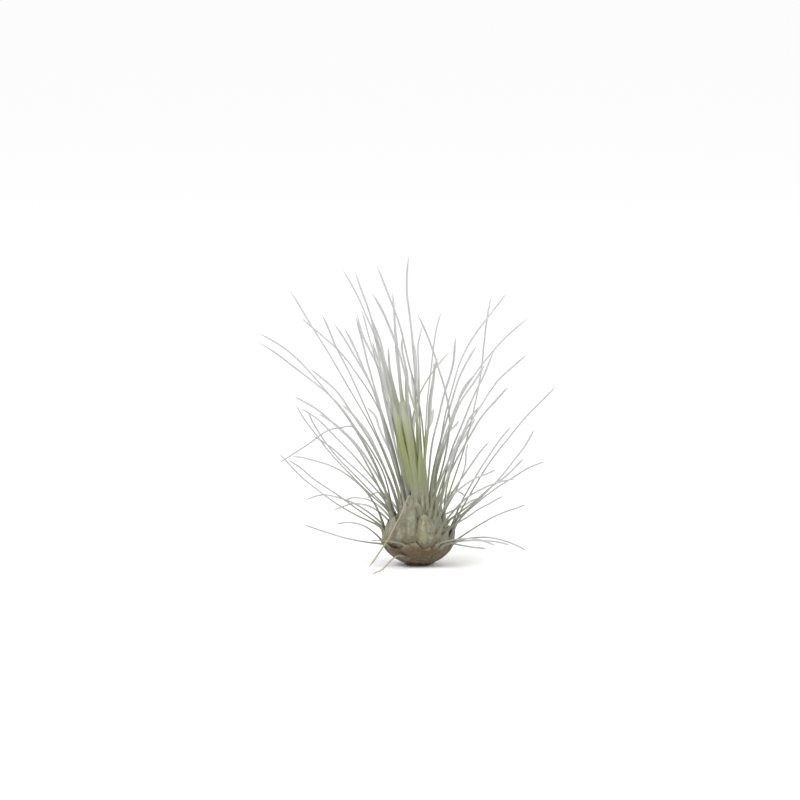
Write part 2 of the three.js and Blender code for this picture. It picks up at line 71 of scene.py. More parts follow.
# Each ring of leaves, from the lowest and oldest to the centre, in millimetres and degrees.
# depth: place in the bulb, 0 on its surface and 1 at the central shoot. bottom, rim: heights of the ring's
# foot and of its core's edge. start: height where the blades leave the bulb. seed: of the ring's draws.
# lift: how far a sheath stands out of its ring. lean: how far its top leans out, or in to the ring inside it.
# bare: azimuth and top of each sheath that has no blade. tuck: how far their tops lean in. point: how blunt
# they end. dried: azimuths of leaves that have dried.
# leaves: azimuth, middle x and z, tip x and z, and the depth y that the tip is judged to have.
# more: leaves laid out by a rule, as number, sector, slope, length and bow.
# bent: azimuth, depth and route of a leaf with a sharp bend.
RINGS = {
    "old_leaves": {
        "depth": -0.22, "bottom": 1.2, "rim": 4.6, "start": 6.6, "seed": 11, "slot": "old_leaf",
        "lift": (0.0, 0.3), "lean": (-0.9, -0.6), "tuck": (-1.2, -0.9), "point": 2,
        "bare": ((-128, 5.4), (-94, 7.6), (-70, 6), (30, 6), (52, 7), (152, 5.6)), "dried": (-112,),
        "leaves": (
            (-150, -19.5, 7.6, -31.6, 11.8, -15),
            (172, -16.5, 11.3, -23, 11.2, 7),
            (-14, 20, 13, 30.2, 17.4, -15),
            (10, 20.5, 7.4, 30.7, 3.6, 12),
            (-33, 14.8, 5.4, 18.8, 5, -19),
            (-112, -8.6, 6.9, -13.2, 7.1, -8.5),
        ),
        "more": (
            (7, (74, 132), (2, 16), (38, 50), 0.12),
            (2, (-62, -46), (2, 8), (26, 32), 0.05),
        ),
    },
    "outer_leaves": {
        "depth": 0, "bottom": 2.7, "rim": 11, "start": 10.8, "seed": 23, "slot": "grey_leaf",
        "lift": (0.4, 0.8), "lean": (-0.6, 0.0), "tuck": (-2.1, -1.4), "point": 2.4,
        "bare": ((-142, 14.6), (-107, 16.4), (-78, 15.6), (147, 15)),
        "leaves": (
            (174, -24, 17.6, -39.3, 31.3, 17),
            (-163, -22, 19.4, -36.2, 30.2, -23),
            (160, -20.5, 25.4, -36.6, 29.6, 30),
            (-10, 22, 31.3, 38, 50.3, -16),
            (12, 16.4, 24.6, 27, 38.5, 31),
            (24, 21.4, 22.2, 33.4, 38.2, 26),
            (-22, 20.5, 21, 35.5, 29.5, -27),
            (42, 18, 18.8, 30.5, 29.8, 38),
            (-40, 15, 14.8, 22.7, 20.2, -40),
            (66, 12, 15.6, 19, 18, 42),
        ),
        "more": (
            (7, (76, 134), (24, 42), (50, 60), 0.1),
            (2, (-68, -50), (20, 26), (40, 48), 0.08),
        ),
    },
    "middle_leaves": {
        "depth": 1 / 3, "bottom": 4.2, "rim": 14.4, "start": 14.6, "seed": 37,
        "slot": "grey_leaf", "lift": (0.3, 0.6), "lean": (-0.4, 0.1), "tuck": (-1.3, -0.9), "point": 2.4,
        "bare": ((-126, 18), (-94, 19)),
        "leaves": (
            (176, -24, 30.5, -34.7, 45.2, 14),
            (-170, -20, 28, -30.8, 43.3, -27),
            (156, -18.6, 31, -33.8, 44.1, 27),
            (-154, -16, 26, -29, 36.4, -36),
            (-178, -24, 47, -44.6, 65, -4),
            (-162, -23, 45.4, -44, 62.6, -20),
            (-16, 11.8, 24.6, 13.8, 35, -38),
            (22, 12.6, 24.2, 20.5, 34, 37),
            (-4, 15, 40.6, 30.2, 59.3, -15),
            (10, 15.2, 41, 20.8, 75.5, 20),
            (-34, 8.8, 28, 11.4, 37.2, -43),
            (34, 13.2, 42, 22.7, 60, 27),
            (48, 11.4, 32, 17.5, 41, 40),
        ),
        "more": (
            (4, (64, 136), (40, 58), (54, 64), 0.08),
            (2, (-66, -48), (36, 48), (46, 54), 0.06),
        ),
        "bent": (166, 8, (
            (-9.4, 24.8), (-13.1, 31.8), (-17.2, 38), (-18.6, 39.1),
            (-21.8, 38.7), (-25.6, 38), (-32.4, 33.4), (-39.1, 28),
        )),
    },
    "inner_leaves": {
        "depth": 2 / 3, "bottom": 5.7, "rim": 17.4, "start": 17.6, "seed": 41,
        "slot": "grey_leaf", "lift": (0.2, 0.5), "lean": (-0.3, 0.1),
        "bare": (),
        "leaves": (
            (-174, -20, 52, -36.6, 76.5, -9),
            (170, -17.4, 53.8, -33, 70, 13),
            (-156, -15.4, 46, -26.8, 69.5, -25),
            (146, -12, 47, -24, 68.5, 30),
            (-8, 13.3, 49, 30.3, 69.3, -13),
            (14, 11.8, 53, 24.8, 76.8, 12),
            (-38, 7.8, 38, 15.3, 53, -35),
            (-60, 5.2, 40.5, 11, 63.3, -26),
            (40, 8.8, 45.5, -0.2, 70.8, 21),
            (-140, -11, 43, -16.8, 69.5, -20),
            (128, -12.4, 47, -20.2, 67, 17),
            (-120, -7.2, 38, -12.2, 62, -31),
            (112, -8.8, 43, -13.6, 71, 24),
        ),
        "more": (
            (2, (50, 110), (58, 70), (46, 54), 0.06),
            (2, (-100, -66), (62, 74), (44, 52), 0.05),
        ),
    },
    "central_shoot": {
        "depth": 1, "bottom": 7.2, "rim": 20.6, "start": 20.6, "seed": 53,
        "slot": "green_leaf", "lift": (0.1, 0.3), "lean": (0, 0),
        "bare": (),
        "leaves": (
            (180, -7.8, 51, -20.7, 83.3, -1),
            (150, -8.4, 52, -16.7, 82.5, 7),
            (-40, -1.2, 53, -12.3, 83.2, -5),
            (-80, -2.2, 50, -13.7, 75.5, -11),
            (110, -4.2, 50, -7.3, 76.5, 8),
            (60, -1, 52, -2.2, 86.5, 3),
            (-10, 2.4, 44, 6.7, 71, -9),
            (30, 0.4, 48, 9.3, 60, 14),
        ),
        "more": ((9, (-180, 180), (80, 88), (38, 52), 0.02),),
    },
}

# How far the shoot's rule-made leaves lean to the left at their tips, and which share of it at their middles
SHOOT_LEAN = Vector((-8, 0, 0))
MIDDLE_LEAN = 0.56

# How young the leaves of a ring are on its right side, from 0 to 1
YOUNG = {"inner_leaves": 0.85, "middle_leaves": 0.5}

# Cosines of the azimuth between which a leaf of these rings grows young
YOUNG_SIDE = (0.2, 0.7)

# Heights between which the green of a young leaf outside the green column fades
GREEN_FADE = (20, 32)

# The green column: where along a leaf its x is judged, and between which x it ends to each side
COLUMN_SHARE = 0.45
COLUMN_LEFT = (-7, -5.5)
COLUMN_RIGHT = (-3.5, 0)

# How much narrower its leaves get to the left and to the right, and how much lower it ends on the right
LEFT_NARROWER = 0.65
RIGHT_NARROWER = 0.35
RIGHT_DROP = 19

# How far under and over its end its leaves narrow, and how broad the leaves in front of it are, from 0 to 1
COLUMN_END = (-5, 1.5)
FRONT_BROAD = 0.12

# How far a dried leaf's sheath stands out of its ring, and how far out and below its top the blade starts
DRY_LIFT = 0.66
DRY_OUT = 1.01
DRY_OVERLAP = 0.9

# The two dried leaves, in millimetres and degrees.
# half: half width. lean: how far the sheath's top leans out. dry: how dry the sheath is, from 0 to 1.
# route: points of the blade.
DRY_LEAVES = {
    "dry_leaf_front": {
        "ring": "outer_leaves", "azimuth": -103, "half": 2.1, "foot": 8, "top": 20.4,
        "lean": -0.7, "dry": 0.0,
        "route": (
            (-1.9, -7.9, 21), (-3, -9.8, 19.6), (-4.8, -11, 15.4), (-6.8, -11.6, 11.6),
            (-8.8, -12.2, 8), (-10.8, -12.8, 5), (-12.6, -13.4, 2.4), (-13.6, -13.8, 1.2),
        ),
    },
    "dry_leaf_low": {
        "ring": "old_leaves", "azimuth": -118, "half": 1.8, "foot": 2, "top": 4.6,
        "lean": 0.0, "dry": 0.15,
        "route": (
            (-5.7, -10.6, 3.7), (-7.2, -12.8, 3.1), (-8.8, -15, 1.6),
            (-10.4, -17.6, 0.5), (-11.6, -21, 0.5), (-12.5, -24.6, 0.5),
        ),
    },
}

# What the draws of the dried leaves start from, and the factors that keep a ring's runs of draws apart
DRY_SEED = 97
RULE_DRAWS = 7
SHAPE_DRAWS = 31

# The stem's outline, as radius and height, and the steps round it
STEM_PROFILE = (
    (0, 0), (3.3, 0), (3.6, 0.25), (3.5, 0.6), (3.2, 0.9), (3.3, 1.2), (3.1, 1.6), (3.2, 2.2), (3.1, 3.2),
    (3, 4.4), (2.8, 5.6), (2.2, 6.3), (0, 6.3),
)
STEM_SIDES = 60

# The uneven bark, as waves round the stem, their twist in radians a millimetre, and their share of the radius
STEM_WAVES = ((5, 0, 0.05), (11, 1, 0.035), (23, 3, 0.02))

# How far a ring's core wall lies inside its sheaths, and the steps round it and up it
CORE_INSET = 0.45
CORE_SIDES = 72
CORE_ROWS = 8

# How far the wall keeps from the ring's foot and its edge, and how far under that edge it turns in
CORE_MARGIN = 0.2
CORE_TURN_IN = 0.5

# How far inside the ring's foot the wall's lowest edge lies, and how far above it
CORE_FLOOR_IN = 1.2
CORE_FLOOR_UP = 0.4

# The shallow ribs round a core wall, their depth as a share of its radius, and their twist a millimetre
CORE_RIBS = 5
RIB_DEPTH = 0.06
RIB_TWIST = 0.1

# The tone of a core wall and how it changes with the ribs, and how near a margin it counts as, so that the
# margins' brown darkens it as painted shade in the hollows between the rings
CORE_SHADE = (0.35, 0.25)
CORE_SHADOW_EDGE = 0.75

# Heights between which a core wall turns from the look of a sheath to that of a blade
CORE_FADE = (13, 18)

# The young leaves rolled up in the middle of the green column, as radius, height and lean
SPEAR = (
    (2.3, 22, -1.2), (2.3, 27, -2.1), (2.3, 32, -3), (2.2, 37, -3.6), (2.1, 42, -3.8), (1.8, 45, -3.9),
    (1.1, 46, -3.9), (0, 46.2, -3.9),
)

# Steps of a leaf's mesh: round it, up its sheath and along its blade
AROUND = 16
SHEATH_STEPS = 16
BLADE_STEPS = 32
LEAF_STEPS = SHEATH_STEPS + BLADE_STEPS

# Where the blade starts on a leaf's map, which runs round the leaf and from its foot to its tip, from 0 to 1
BLADE_START = SHEATH_STEPS / LEAF_STEPS

# Steps between which a sheath turns into a blade, and between which a dried leaf's blade turns fully dry
SHEATH_END = (SHEATH_STEPS - 3, SHEATH_STEPS + 3)
DRYING = (SHEATH_STEPS, SHEATH_STEPS + 13)

# The steps before and after the start of a blade where the leaf's bend is eased, and how often
EASED_BEFORE = 5
EASED_AFTER = 4
EASE_PASSES = 8

# How fast a blade comes back to its line from where its sheath lets it go, as a power
ROOT_FADE = 8

# How much the starts of blades differ in height, and how unevenly a rule spreads its leaves over its sector
START_SPREAD = (-0.5, 0.5)
SCATTER = 0.1

# How far the middle of a sheath's thickness stands out of its ring
STAND_OUT = 0.12

# How far the tip of a bare sheath is drawn up
BARE_TIP = 0.3

# Widths of sheaths as shares: in the shoot, what is lost from the surface to the centre, and without a blade
SHOOT_SHEATH = 0.52
INWARD_LOSS = 0.3
BARE_SHEATH = 1.25

# Where a sheath starts to taper, as a share of its height: one with a blade, and a bare one
TAPER_START = 0.38
BARE_TAPER_START = 0.3

# How wide a sheath's foot is, as a share, and the least half width of a bare sheath
FOOT_WIDTH = 0.8
BARE_LEAST = 0.08

# How fast a blade's root narrows, when fresh and when dried
ROOT_NARROWING = (18, 6)

# How many times as wide as the innermost blades the outermost are, and what a dried one loses of its width
OUTER_BLADE = 1.2
DRY_SHRINK = 0.4

# Where a blade's end is drawn out, as a share of its length, and how much of the width is lost there
END_START = 0.94
END_LOSS = 0.7

# How thick leaves are as shares of their width: at most, and past their sheaths
THICKEST = 0.8
BLADE_THICK = 0.62

# What a bare sheath loses of its thickness up to its tip, and how full its outline is, as a power
BARE_THINNING = 0.6
BARE_FULLNESS = 0.9

# How many times as much as its ring a sheath curves
CLASP = 2.1

# How deep the channel along a blade is, as a share of half its width
CHANNEL = 0.3

# How leaves differ: a sheath's width as a share, how far its foot is lowered, and its slant in degrees
WIDTH_SPREAD = (0.85, 1.2)
FOOT_SPREAD = (0.1, 0.8)
SLANT_SPREAD = (-14, 14)

# The kink of a blade in millimetres, and where along the blade it is
KINK_SIZE = (-1.2, 1.2)
KINK_PLACE = (0.62, 0.9)

# Waves of a blade sideways and up: factor of the leaf's own angle, radians along the blade, and weight
SIDE_WAVES = ((1, 8, 1), (2.3, 19, 0.4))
UP_WAVES = ((1.7, 7, 1), (3.1, 17, 0.4))

# How far blades wave sideways and up, and the power by which that grows along them
SWAY = 0.8
NOD = 0.6
WAVE_GROWTH = 1.3

# The length from which on a blade waves fully
LOOSE_LENGTH = 60

# How much the edges of a sheath ripple, and by how many radians from step to step
RIPPLE = 0.12
RIPPLE_TURN = 1.3

# Points closer than this are joined, in metres
JOIN_DISTANCE = 1e-8

# Values kept at a mesh's points: a leaf's own shade, how young it is, how near a margin, and how dry
ATTRIBUTES = ("tint", "green", "edge", "dry")

# The colours that the surface of a leaf is mixed from
TONES = ("Sheath", "Scales", "Margin", "Foot", "Blade", "Tip", "Shoot", "Stripe", "Dry")

# Noise scales of the leaves' patches, stains, ragged brown feet and mealy scales
PATCHES = 230.0
STAINS = 330.0
RAGGED = 500.0
MEAL = 1000.0

# Noise scales of the streaks, round a leaf and along it, and how far they move from leaf to leaf
STREAKS = (34.0, 7.0, 1.0)
STREAK_SHIFT = 40.0

# How far the noise of the stains is moved aside, so that they don't follow the patches
ASIDE = (0.3, 0.1, 0.2)

# Noise scales of the bark: its rings, which are finer up the stem than round it, and its grain
BARK_RINGS = (300.0, 300.0, 1400.0)
BARK_GRAIN = 1800.0

# Heights in metres between which the brown of a sheath's foot fades, and how ragged its edge is
BROWN_FEET = (0.013, 0.0055)
RAGGEDNESS = 0.003

# Heights in metres between which green leaves change: grey feet, pale upper parts and paler tips
GREY_FEET = (0.034, 0.021)
PALE_UPPER = (0.034, 0.046)
PALE_TIPS = (0.044, 0.06)

# Shares of a leaf's map between which a sheath ends, a blade's olive root ends and its pale end grows
MAP_SHEATH = (BLADE_START * 1.1, BLADE_START * 0.75)
MAP_ROOT = (0.62, 0.38)
MAP_END = (0.4, 0.8)

# Painted light on the roots of blades on top of the bulb, which pales them where shade falls between them and
# stands in for light through the leaves: shares of the map, and heights in metres of its ends
PAINTED_LIGHT_MAP = (0.5, 0.36)
PAINTED_LIGHT_LOW = (0.014, 0.019)
PAINTED_LIGHT_HIGH = (0.026, 0.02)

# The picture: its width at the plant, how far away the camera stands, and its centre, in metres
PICTURE_WIDTH = 0.224
CAMERA_DISTANCE = 1.4
PICTURE_CENTRE = Vector((-0.00504, 0, 0.0465))

# The lamps: place, watts and size, and the point that they are aimed at
LAMPS = {"Key": ((-0.5, -0.6, 0.9), 6, 0.5), "Fill": ((0.7, -0.4, 0.5), 2, 0.6)}
LIT_POINT = Vector((0, 0, 0.03))

# The ground's half width in metres and its grey, and the brightness of the white world
GROUND_REACH = 30
GROUND_GREY = 0.93
WORLD_STRENGTH = 1.05


def length(name, description, millimetres):
    return FloatProperty(
        name=name, description=description, subtype="DISTANCE", unit="LENGTH", precision=5, min=0.0,
        default=millimetres * MM,
    )


class PlantSizes(bpy.types.PropertyGroup):
    """Sizes of the leaves."""

    blade_root: length("Blade root", "Half width of an outer blade where it leaves its sheath", 0.6)
    blade_middle: length("Blade", "Half width of a blade past its root", 0.27)
    blade_tip: length("Blade tip", "Half width of a blade at its tip", 0.31)
    shoot_blade: length("Shoot blade", "Half width of a central blade", 1.0)
    column_top: length("Column top", "Height where the central blades grow thin", 46)
    sheath_width: length("Sheath", "Half width of a sheath on the bulb", 3.4)
    sheath_thickness: length("Sheath thickness", "Half of a sheath's thickness", 0.3)


# The leaves' sizes in millimetres, as the shapes below are worked out in them.
def leaf_sizes(scene):
    group = scene.plant_sizes
    return SimpleNamespace(**{key: getattr(group, key) / MM for key in group.__annotations__})


def colour(name, description, *shares):
    return FloatVectorProperty(name=name, description=description, subtype="COLOR", default=shares)


class PlantColours(bpy.types.PropertyGroup):
    """Colours of the leaves."""

    sheath: colour("Sheath", "Olive grey of a sheath", 0.2, 0.205, 0.13)
    scales: colour("Scales", "Pale mealy patches on the sheaths", 0.35, 0.4, 0.31)
    margin: colour("Margin", "Papery edges of the sheaths", 0.34, 0.31, 0.18)
    foot: colour("Foot", "Brown of the lowest part of the sheaths", 0.105, 0.064, 0.026)
    blade: colour("Blade", "Grey-green of a blade", 0.305, 0.305, 0.26)
    tip: colour("Tip", "Grey of a blade's tip", 0.57, 0.575, 0.57)
    shoot: colour("Shoot", "Green of the young central leaves", 0.335, 0.366, 0.142)
    stripe: colour("Stripe", "Olive stripes of the young central leaves", 0.17, 0.19, 0.05)
    dry: colour("Dry leaf", "Tan of a dried leaf", 0.42, 0.375, 0.26)
    stem: colour("Stem", "Brown of the stem", 0.12, 0.075, 0.04)


# A sequence of draws from 0 to 1 that is the same every time: a linear congruential generator.
def draws(seed):
    factor, step, size = 1664525, 1013904223, 2**32
    state = seed
    while True:
        state = (state * factor + step) % size
        yield state / size


def between(ends, share):
    return ends[0] + (ends[1] - ends[0]) * share


# Radius of a ring's surface at a height, in millimetres.
def ring_radius(ring, z):
    waist = BULB_RADIUS + (CORE_RADIUS - BULB_RADIUS) * ring["depth"]
    if z < WAIST_HEIGHT:
        down = min(1, (WAIST_HEIGHT - z) / (WAIST_HEIGHT - ring["bottom"]))
        return BOTTOM_RADIUS + (waist - BOTTOM_RADIUS) * (1 - down**UNDERSIDE_EASE) ** FOOT_EASE
    up = min(1, (z - WAIST_HEIGHT) / (NECK_HEIGHT - WAIST_HEIGHT))
    outer = NECK_RADIUS + (BULB_RADIUS - NECK_RADIUS) * math.cos(up * math.pi / 2)
    core = CORE_RADIUS + (CORE_NECK_RADIUS - CORE_RADIUS) * up
    return outer + (core - outer) * ring["depth"]


def on_ring(ring, azimuth, z, out=0.0):
    radius = ring_radius(ring, z) + out
    return Vector((radius * math.cos(azimuth), radius * math.sin(azimuth), z))


# A point from what the photograph shows: x and height as seen, and a depth that is judged.
def seen(x, y, z):
    return Vector((x, y, (z - y * math.sin(LOOK_DOWN)) / math.cos(LOOK_DOWN)))


# The leaves read from the photograph.
def seen_leaves(ring):
    draw = draws(ring["seed"])
    leaves = []
    for degrees, middle_x, middle_z, tip_x, tip_z, tip_y in ring["leaves"]:
        azimuth = math.radians(degrees)
        start = ring["start"] + between(START_SPREAD, next(draw))
        root = on_ring(ring, azimuth, start)
        lower = math.hypot(middle_x - root.x, middle_z - start)
        share = lower / (lower + math.hypot(tip_x - middle_x, tip_z - middle_z))
        middle_y = root.y + (tip_y - root.y) * share
        leaves.append((azimuth, start, seen(middle_x, middle_y, middle_z), seen(tip_x, tip_y, tip_z)))
    return leaves


# The leaves that a rule lays out over a sector.
def sector_leaves(ring, rule, draw):
    count, sector, slope, length, bow = rule
    lean = SHOOT_LEAN if ring["depth"] == 1 else Vector()
    leaves = []
    for i in range(count):
        azimuth = math.radians(between(sector, (i * GOLDEN + next(draw) * SCATTER) % 1))
        start = ring["start"] + between(START_SPREAD, next(draw))
        rise = math.radians(between(slope, next(draw)))
        reach = between(length, next(draw))
        out = Vector((math.cos(azimuth), math.sin(azimuth), 0))
        up = Vector((0, 0, 1))
        chord = out * reach * math.cos(rise) + up * reach * math.sin(rise)
        root = on_ring(ring, azimuth, start)
        bulge = up * math.cos(rise) - out * math.sin(rise)
        middle = root + chord * 0.5 + bulge * reach * bow + lean * MIDDLE_LEAN
        leaves.append((azimuth, start, middle, root + chord + lean))
    return leaves


# A smooth line through points, as a function of the share of its length.
def line_through(points):
    lengths = [0.0]
    for a, b in zip(points, points[1:]):
        lengths.append(lengths[-1] + (b - a).length)

    def at(share):
        distance = share * lengths[-1]
        i = max(k for k in range(len(points) - 1) if lengths[k] <= distance + 1e-9)
        t = (distance - lengths[i]) / (lengths[i + 1] - lengths[i])
        before = points[i - 1] if i else points[0] * 2 - points[1]
        after = points[i + 2] if i + 2 < len(points) else points[-1] * 2 - points[-2]
        a, b = points[i], points[i + 1]
        pull = (b - a).length
        leave = (b - before).normalized() * pull
        arrive = (after - a).normalized() * pull
        return (
            a * (2 * t**3 - 3 * t**2 + 1) + leave * (t**3 - 2 * t**2 + t)
            + b * (3 * t**2 - 2 * t**3) + arrive * (t**3 - t**2)
        )

    return at


# The bow of a leaf from the bulb through its middle to its tip.
def bow_through(root, middle, tip):
    lower = (middle - root).length
    share = lower / (lower + (tip - middle).length)

    def at(t):
        return (
            root * ((t - share) * (t - 1) / share)
            + middle * (t * (t - 1) / (share * (share - 1)))
            + tip * (t * (t - share) / (1 - share))
        )

    return at


# A leaf of a ring.
# azimuth: in radians. start: height where its blade starts. line: the blade's, or none for a bare sheath.
# young: how green it is. dry: how dry its sheath and its blade are. broad: how broad its blade is up to the
# height broad_top. All three run from 0 to 1.
Leaf = namedtuple(
    "Leaf", "azimuth start line young dry broad broad_top", defaults=(0.0, (0.0, 0.0), 0.0, 0.0),
)


# All the leaves of a ring.
def ring_leaves(name, ring, column_top):
    inner = name == "inner_leaves"
    young = YOUNG.get(name, 0.0)
    shoot = ring["depth"] == 1

    def leaf(azimuth, start, middle, tip, front):
        line = bow_through(on_ring(ring, azimuth, start), middle, tip)
        if shoot or front:
            # the green column leans to the left, and ends lower on its right
            x = line(COLUMN_SHARE).x
            to_right = smooth_step(*COLUMN_RIGHT, x)
            to_left = 1 - smooth_step(*COLUMN_LEFT, x)
            broad = 1 - RIGHT_NARROWER * to_right - LEFT_NARROWER * to_left if shoot else FRONT_BROAD
            broad_top = column_top - RIGHT_DROP * to_right
            return Leaf(azimuth, start, line, 1.0 if shoot else young, broad=broad, broad_top=broad_top)
        return Leaf(azimuth, start, line, young * smooth_step(*YOUNG_SIDE, math.cos(azimuth)))

    found = [leaf(*place, False) for place in seen_leaves(ring)]
    dried = [math.radians(degrees) for degrees in ring.get("dried", ())]
    found = [one._replace(dry=(0.0, 1.0)) if one.azimuth in dried else one for one in found]
    draw = draws(ring["seed"] * RULE_DRAWS)
    for rule in ring["more"]:
        for place in sector_leaves(ring, rule, draw):
            found.append(leaf(*place, inner and math.sin(place[0]) < 0))
    if "bent" in ring:
        degrees, tip_y, route = ring["bent"]
        azimuth = math.radians(degrees)
        root = on_ring(ring, azimuth, ring["start"])
        points = [root]
        for i, (x, z) in enumerate(route, 1):
            points.append(seen(x, root.y + (tip_y - root.y) * i / len(route), z))
        found.append(Leaf(azimuth, ring["start"], line_through(points)))
    for degrees, top in ring["bare"]:
        found.append(Leaf(math.radians(degrees), top, None))
    return found


def smooth_step(low, high, value):
    share = min(1, max(0, (value - low) / (high - low)))
    return share * share * (3 - 2 * share)


# The middle line of a leaf, from the foot of its sheath up the bulb and on along its blade.
def leaf_line(ring, azimuth, foot, end, line, lift, flare, slant):
    points = []
    for step in range(SHEATH_STEPS):
        rise = step / SHEATH_STEPS
        out = lift * min(1, rise * 2) + STAND_OUT + flare * rise**3
        points.append(on_ring(ring, azimuth + slant * (1 - rise), foot + (end - foot) * rise, out))
    blade_steps = BLADE_STEPS if line else 1
    outward = Vector((math.cos(azimuth), math.sin(azimuth), 0)) * (lift + STAND_OUT + flare)
    for step in range(blade_steps + 1):
        along = step / BLADE_STEPS
        if line:
            points.append(line(along) + outward * (1 - along) ** ROOT_FADE)
        else:
            points.append(on_ring(ring, azimuth, end + BARE_TIP * step, lift + STAND_OUT + flare))
    for _ in range(EASE_PASSES):
        eased = [point.copy() for point in points]
        for i in range(SHEATH_STEPS - EASED_BEFORE, min(SHEATH_STEPS + EASED_AFTER, len(points) - 1)):
            eased[i] = (points[i - 1] + points[i] * 2 + points[i + 1]) / 4
        points = eased
    return points


# Half the width of a leaf at a step and a height: a clasping sheath drawn in to a thin blade.
def leaf_half(step, z, sizes, width, leaf, ring):
    rise = min(1, step / SHEATH_STEPS)
    if leaf.line is None:
        bare_taper = 1 - max(0, (rise - BARE_TAPER_START) / (1 - BARE_TAPER_START)) ** ring["point"]
        return max(BARE_LEAST, width * bare_taper**BARE_FULLNESS)
    taper = 1 - max(0, (rise - TAPER_START) / (1 - TAPER_START)) ** 2
    sheath = width * taper * between((FOOT_WIDTH, 1), math.sin(min(0.5, rise) * math.pi))
    along = max(0, step - SHEATH_STEPS) / BLADE_STEPS
    inward = max(0, ring["depth"])
    dry = leaf.dry[1]
    root = sizes.blade_root * (1 - INWARD_LOSS * inward)
    thread = between((sizes.blade_middle, sizes.blade_tip), along)
    thread += (root - sizes.blade_middle) * math.exp(-between(ROOT_NARROWING, dry) * along)
    thread *= between((OUTER_BLADE, 1), inward) * (1 - DRY_SHRINK * dry)
    thread *= 1 - END_LOSS * smooth_step(END_START, 1, along)
    # a blade of the green column is broad up to the height where the column ends
    column = 1 - smooth_step(leaf.broad_top + COLUMN_END[0], leaf.broad_top + COLUMN_END[1], z)
    return max(sheath, between((thread, sizes.shoot_blade), leaf.broad * column))


# How far a blade waves at a place along it, by the leaf's own angle.
def wave_height(waves, angle, along):
    return sum(weight * math.sin(factor * angle + turn * along) for factor, turn, weight in waves)


# Adds one leaf to a mesh: a grid rolled up into a shell that is a broad sheath below and a thin blade above.
def add_leaf(bm, ring, leaf, sizes, width, draw, foot=None, lifts=None, dry_lean=0.0):
    azimuth, line = leaf.azimuth, leaf.line
    maps = bm.loops.layers.uv["leaf"]
    tint, green, edge, dryness = (bm.verts.layers.float[key] for key in ATTRIBUTES)
    steps = SHEATH_STEPS + (BLADE_STEPS if line else 1)
    shade = next(draw)
    width *= between(WIDTH_SPREAD, next(draw))
    lift = between(lifts or ring["lift"], next(draw))
    flare = dry_lean if lifts else between(ring["lean" if line else "tuck"], next(draw))
    foot = ring["bottom"] - between(FOOT_SPREAD, next(draw)) if foot is None else foot
    wave = next(draw) * math.tau
    kink = between(KINK_SIZE, next(draw))
    kink_place = between(KINK_PLACE, next(draw))
    slant = 0.0 if lifts else math.radians(between(SLANT_SPREAD, next(draw)))
    points = leaf_line(ring, azimuth, foot, leaf.start, line, lift, flare, slant)
    # short blades hardly wave
    reach = sum((b - a).length for a, b in zip(points[SHEATH_STEPS:], points[SHEATH_STEPS + 1:]))
    loose = 0.0 if lifts else min(1, reach / LOOSE_LENGTH) ** 2
    made = bmesh.ops.create_grid(bm, x_segments=AROUND, y_segments=steps, size=1.0, calc_uvs=True)
    verts = made["verts"]
    wide = Vector((-math.sin(azimuth), math.cos(azimuth), 0))
    for vert in verts:
        turn = vert.co.x * math.pi
        step = round((vert.co.y + 1) / 2 * steps)
        side = math.sin(turn)
        over = math.cos(turn)
        ahead = (points[min(steps, step + 1)] - points[max(0, step - 1)]).normalized()
        level = (wide - ahead * wide.dot(ahead)).normalized()
        out = level.cross(ahead)
        in_sheath = 1 - smooth_step(*SHEATH_END, step)
        half = leaf_half(step, points[step].z, sizes, width, leaf, ring) if 0 < step < steps else 0.0
        thick = min(half * THICKEST, between((half * BLADE_THICK, sizes.sheath_thickness), in_sheath))
        if line is None:
            thick *= 1 - BARE_THINNING * step / steps
        clasp = CLASP * in_sheath * (side * half) ** 2 / (2 * ring_radius(ring, points[step].z))
        channel = CHANNEL * half * (1 - side * side) * (1 - in_sheath)
        along = max(0, step - SHEATH_STEPS) / BLADE_STEPS
        curl = kink * max(0, 1 - abs(along - kink_place) / (1 - kink_place))
        growth = along**WAVE_GROWTH
        sway = loose * (SWAY * growth * wave_height(SIDE_WAVES, wave, along) + curl)
        nod = loose * NOD * (growth * wave_height(UP_WAVES, wave, along) - curl)
        ripple = RIPPLE * in_sheath * abs(side) ** 3 * math.sin(wave + step * RIPPLE_TURN)
        sideways = side * half + sway
        outwards = thick * over - clasp - channel + ripple + nod
        vert.co = (points[step] + level * sideways + out * outwards) * MM
        vert[tint] = shade
        vert[green] = leaf.young * (1 if leaf.broad else 1 - smooth_step(*GREEN_FADE, points[step].z))
        vert[edge] = abs(side)
        vert[dryness] = between(leaf.dry, smooth_step(*DRYING, step))
    for face in {face for vert in verts for face in vert.link_faces}:
        face.smooth = True
        for loop in face.loops:
            loop[maps].uv.y *= steps / LEAF_STEPS
    bmesh.ops.remove_doubles(bm, verts=verts, dist=JOIN_DISTANCE)


# Radius, height and lean of a core's wall, which ends against the next ring, or for the shoot in the spear.
def core_profile(ring, inner):
    low, high = ring["bottom"] + CORE_MARGIN, ring["rim"] - CORE_MARGIN
    heights = [between((low, high), step / CORE_ROWS) for step in range(CORE_ROWS + 1)]
    wall = [(ring_radius(ring, z) - CORE_INSET, z, 0.0) for z in heights]
    if inner is None:
        return [(0, ring["bottom"], 0.0), *wall, *SPEAR]
    end = ring["rim"] - CORE_TURN_IN
    floor = (BOTTOM_RADIUS - CORE_FLOOR_IN, ring["bottom"] + CORE_FLOOR_UP, 0.0)
    return [floor, *wall, (ring_radius(inner, end) - CORE_INSET * 2, end, 0.0), floor]


